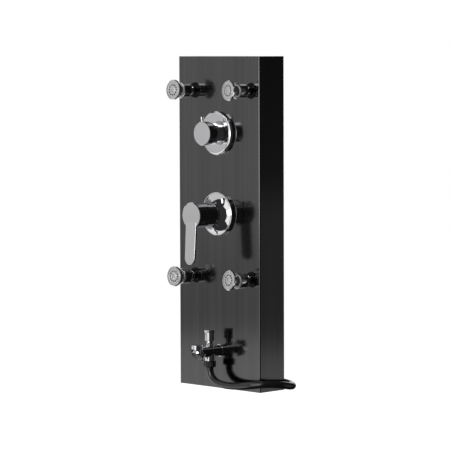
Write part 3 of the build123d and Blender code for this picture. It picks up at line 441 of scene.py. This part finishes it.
# ---------------------------------------------------------------- polished fittings
# Mixer trim, outlet knob, jets, spout and pull-up knob: turned or cast brass, polished and plated
# with chrome.
chrome = Finish("chrome_plate", Metallic=1.0)
chrome_haze = chrome.noise(55.0, 4.0)
chrome_mist = chrome.noise(700.0, 2.0)
chrome.surface(
    Base_Color=chrome.between(chrome_haze, (0.76, 0.76, 0.775), (0.83, 0.83, 0.845)),
    Roughness=chrome_haze * 0.035 + chrome_mist * 0.02 + 0.025,
    Normal=chrome.bump(chrome_haze, 0.00002),
)
JETS = [(row, side) for row in ("upper", "lower") for side in ("left", "right")]
dress(chrome, "mixer_escutcheon", "mixer_sleeve", "mixer_lever", "diverter_escutcheon",
      "diverter_sleeve", "diverter_knob", "knob_pin", "spout_body", "pull_knob", "hose_end_nut")
for row, side in JETS:
    dress(chrome, f"jet_base_{row}_{side}", f"jet_head_{row}_{side}")

# ---------------------------------------------------------------- jet faces and nozzles
# Each jet's head holds a satin face plate with shallow rings, and twelve soft nozzles stand in a
# ring halfway out, so that scale can be rubbed off them.
BALL_Y = -0.116
FACE_OUT = 0.0218
NOZZLES = 12
NOZZLE_RING = 0.0098
# rest aim of each jet in degrees: turned towards -X, then tilted upwards
JET_AIMS = {("upper", "left"): (0, 4), ("upper", "right"): (8, 3),
            ("lower", "left"): (-2, 3), ("lower", "right"): (7, 7)}
JET_X = {"left": -0.0765, "right": 0.0765}
JET_Z = {"upper": 0.1595, "lower": -0.2010}

face_plate = Finish("jet_face_plate", Metallic=0.75)
face_grain = face_plate.noise(520.0, 3.0)
face_plate.surface(
    Base_Color=face_plate.between(face_grain, (0.52, 0.52, 0.53), (0.86, 0.86, 0.87)),
    Roughness=face_grain * 0.2 + 0.22,
    Normal=face_plate.bump(face_grain, 0.0001),
)
soft_nozzle = Finish("soft_nozzle", Metallic=0.0)
nozzle_grain = soft_nozzle.noise(1500.0, 2.0)
soft_nozzle.surface(
    Base_Color=soft_nozzle.between(nozzle_grain, (0.020, 0.020, 0.021), (0.045, 0.045, 0.047)),
    Roughness=nozzle_grain * 0.2 + 0.45,
    Normal=soft_nozzle.bump(nozzle_grain, 0.00003),
)
for row, side in JETS:
    turn, rise = np.radians(JET_AIMS[row, side])
    aim = np.array([-np.sin(turn) * np.cos(rise), -np.cos(turn) * np.cos(rise), np.sin(rise)])
    across = np.array([np.cos(turn), -np.sin(turn), 0.0])
    over = np.cross(across, aim)
    ball = np.array([JET_X[side], BALL_Y, JET_Z[row]])
    plate_points, plate_faces = revolved(
        [(0.0003, -0.0001), (0.0156, -0.0001), (0.0156, 0.0002), (0.0150, 0.0005), (0.0136, 0.0005),
         (0.0132, 0.0002), (0.0127, 0.0002), (0.0122, 0.0004), (0.0070, 0.0004), (0.0066, 0.0001),
         (0.0061, 0.0001), (0.0057, 0.0005), (0.0016, 0.0007), (0.0003, 0.0007)],
        [ball + aim * FACE_OUT], [aim], 72)
    new_piece(f"jet_plate_{row}_{side}", plate_points, plate_faces, face_plate,
              f"jet_aim_{row}_{side}")
    spots = np.arange(NOZZLES) * 2 * np.pi / NOZZLES
    places = (ball + aim * (FACE_OUT + 0.0003)
              + NOZZLE_RING * (np.cos(spots)[:, None] * across + np.sin(spots)[:, None] * over))
    nozzle_points, nozzle_faces = revolved(
        [(0.0001, -0.0001), (0.00155, -0.0001), (0.00150, 0.0004), (0.00110, 0.0009),
         (0.00080, 0.0010), (0.00055, 0.0008), (0.0005, 0.0003), (0.0001, 0.0003)],
        places, np.repeat(aim[None], NOZZLES, 0), 12)
    new_piece(f"jet_nozzles_{row}_{side}", nozzle_points, nozzle_faces, soft_nozzle,
              f"jet_aim_{row}_{side}")

# ---------------------------------------------------------------- aerator
# Moulded grey insert in the spout's mouth, with a fine mesh that mixes air into the stream.
mesh_insert = Finish("mesh_insert", Metallic=0.0, Roughness=0.5)
insert_x = mesh_insert.node("ShaderNodeSeparateXYZ", None, {0: mesh_insert.place}, output="X")
insert_y = mesh_insert.node("ShaderNodeSeparateXYZ", None, {0: mesh_insert.place}, output="Y")
MESH_PITCH = 2600.0            # radians per metre
lattice = ((insert_x * MESH_PITCH).sine() * (insert_y * MESH_PITCH).sine()) * 0.5 + 0.5
mesh_insert.surface(
    Base_Color=mesh_insert.between(lattice, (0.12, 0.12, 0.125), (0.46, 0.46, 0.48)),
    Normal=mesh_insert.bump(lattice, 0.0004),
)
dress(mesh_insert, "spout_aerator")

# ---------------------------------------------------------------- valve bodies
# Cast and machined brass: mixer and outlet bodies, elbows, tees, the riser's bush, spindles and
# the plunger. The cast skin is grainy and has gone dull in places.
brass = Finish("cast_brass", Metallic=1.0)
cast_grain = brass.noise(650.0, 5.0)
dull_patches = brass.noise(28.0, 4.0)
brass.surface(
    Base_Color=brass.between(dull_patches, (0.50, 0.36, 0.16), (0.74, 0.58, 0.30)),
    Roughness=cast_grain * 0.2 + dull_patches * 0.15 + 0.2,
    Normal=brass.bump(cast_grain, 0.00012),
)
dress(brass, "mixer_body", "diverter_body", "mixer_cartridge_nut", "jet_elbows", "jet_feed_tees",
      "riser_bush", "spout_elbow", "mixer_spindle", "diverter_spindle", "pull_plunger")

# ---------------------------------------------------------------- gaskets, cartridges and liners
# Black rubber washers behind the panel, and white moulded cartridges, rotor and ball liners.
rubber = Finish("washer_rubber", Metallic=0.0)
rubber_grain = rubber.noise(900.0, 4.0)
rubber.surface(
    Base_Color=rubber.between(rubber_grain, (0.016, 0.016, 0.016), (0.042, 0.042, 0.041)),
    Roughness=rubber_grain * 0.2 + 0.6, Normal=rubber.bump(rubber_grain, 0.00005))
dress(rubber, "body_gaskets", "jet_gaskets", "spout_gasket")

moulded = Finish("moulded_white", Metallic=0.0)
moulded_grain = moulded.noise(420.0, 3.0)
moulded.surface(
    Base_Color=moulded.between(moulded_grain, (0.72, 0.72, 0.68), (0.82, 0.82, 0.79)),
    Roughness=moulded_grain * 0.15 + 0.35, Normal=moulded.bump(moulded_grain, 0.00003))
dress(moulded, "mixer_cartridge", "mixer_rotor", "diverter_cartridge",
      *[f"jet_liner_{row}_{side}" for row, side in JETS])

# ---------------------------------------------------------------- rails, brackets and nuts
# Folded and stamped steel with bright zinc on it, whose crystals show as faint pale patches.
zinc = Finish("zinc_plate", Metallic=1.0)
zinc_patches = zinc.noise(90.0, 5.0)
zinc_grain = zinc.noise(1200.0, 2.0)
zinc.surface(
    Base_Color=zinc.between(zinc_patches, (0.42, 0.43, 0.44), (0.66, 0.67, 0.68)),
    Roughness=zinc_grain * 0.12 + zinc_patches * 0.2 + 0.2,
    Normal=zinc.bump(zinc_grain, 0.00002))
dress(zinc, "hanging_rail_lower", "hanging_rail_upper", "wall_bracket_lower",
      "wall_bracket_upper", "hose_tie_rail", "jet_back_nuts", "spout_back_nut",
      "mixer_clamp_nut", "diverter_clamp_nut", "lever_set_screw")

# ---------------------------------------------------------------- inner hoses
# Rubber hoses in a stainless steel braid between the valve bodies, each end held by a crimped
# steel sleeve.
braid = Finish("steel_braid", Metallic=1.0)
braid_x = braid.node("ShaderNodeSeparateXYZ", None, {0: braid.place}, output="X")
braid_y = braid.node("ShaderNodeSeparateXYZ", None, {0: braid.place}, output="Y")
braid_z = braid.node("ShaderNodeSeparateXYZ", None, {0: braid.place}, output="Z")
round_it = braid_x + braid_y
STRAND_PITCH = 2400.0          # radians per metre
strands = (((round_it + braid_z) * STRAND_PITCH).sine()
           * ((round_it - braid_z) * STRAND_PITCH).sine())
strands = strands * 0.5 + 0.5
braid.surface(
    Base_Color=braid.between(strands, (0.20, 0.20, 0.20), (0.60, 0.60, 0.61)),
    Roughness=strands * 0.15 + 0.28, Normal=braid.bump(strands, 0.0003))
dress(braid, "jet_feed_hoses", "mixer_hose", "riser_hose", "spout_hose")

crimp = Finish("crimped_steel", Metallic=1.0)
crimp_grain = crimp.noise(800.0, 3.0)
crimp.surface(
    Base_Color=crimp.between(crimp_grain, (0.50, 0.50, 0.51), (0.68, 0.68, 0.69)),
    Roughness=crimp_grain * 0.2 + 0.18, Normal=crimp.bump(crimp_grain, 0.00002))
FERRULE_LENGTH = 0.011
# x, y, foot and top of each upright hose
upright_hoses = [
    (0.0, -0.072, -0.0455, 0.050), (0.0, -0.057, 0.106, 0.189), (0.0, -0.039, -0.318, 0.050),
    (-0.0765, -0.066, 0.092, 0.1435), (0.0765, -0.066, 0.092, 0.1435),
    (-0.0765, -0.066, -0.185, 0.064), (0.0765, -0.066, -0.185, 0.064),
]
ferrule_places, ferrule_ways = [], []
for x, y, low, high in upright_hoses:
    ferrule_places += [(x, y, low), (x, y, high)]
    ferrule_ways += [(0, 0, 1), (0, 0, -1)]
for side in (-1, 1):
    ferrule_places += [(side * 0.028, -0.066, 0.078), (side * 0.0625, -0.066, 0.078)]
    ferrule_ways += [(side, 0, 0), (-side, 0, 0)]
ferrule_points, ferrule_faces = revolved(
    [(0.0061, 0.0003), (0.0072, 0.0003), (0.0074, 0.0008), (0.0074, 0.0028), (0.0069, 0.0034),
     (0.0069, 0.0046), (0.0074, 0.0052), (0.0074, 0.0070), (0.0069, 0.0076), (0.0069, 0.0088),
     (0.0073, 0.0094), (0.0073, 0.0104), (0.0069, FERRULE_LENGTH), (0.0061, FERRULE_LENGTH)],
    ferrule_places, ferrule_ways, 32)
new_piece("hose_ferrules", ferrule_points, ferrule_faces, crimp, "column")
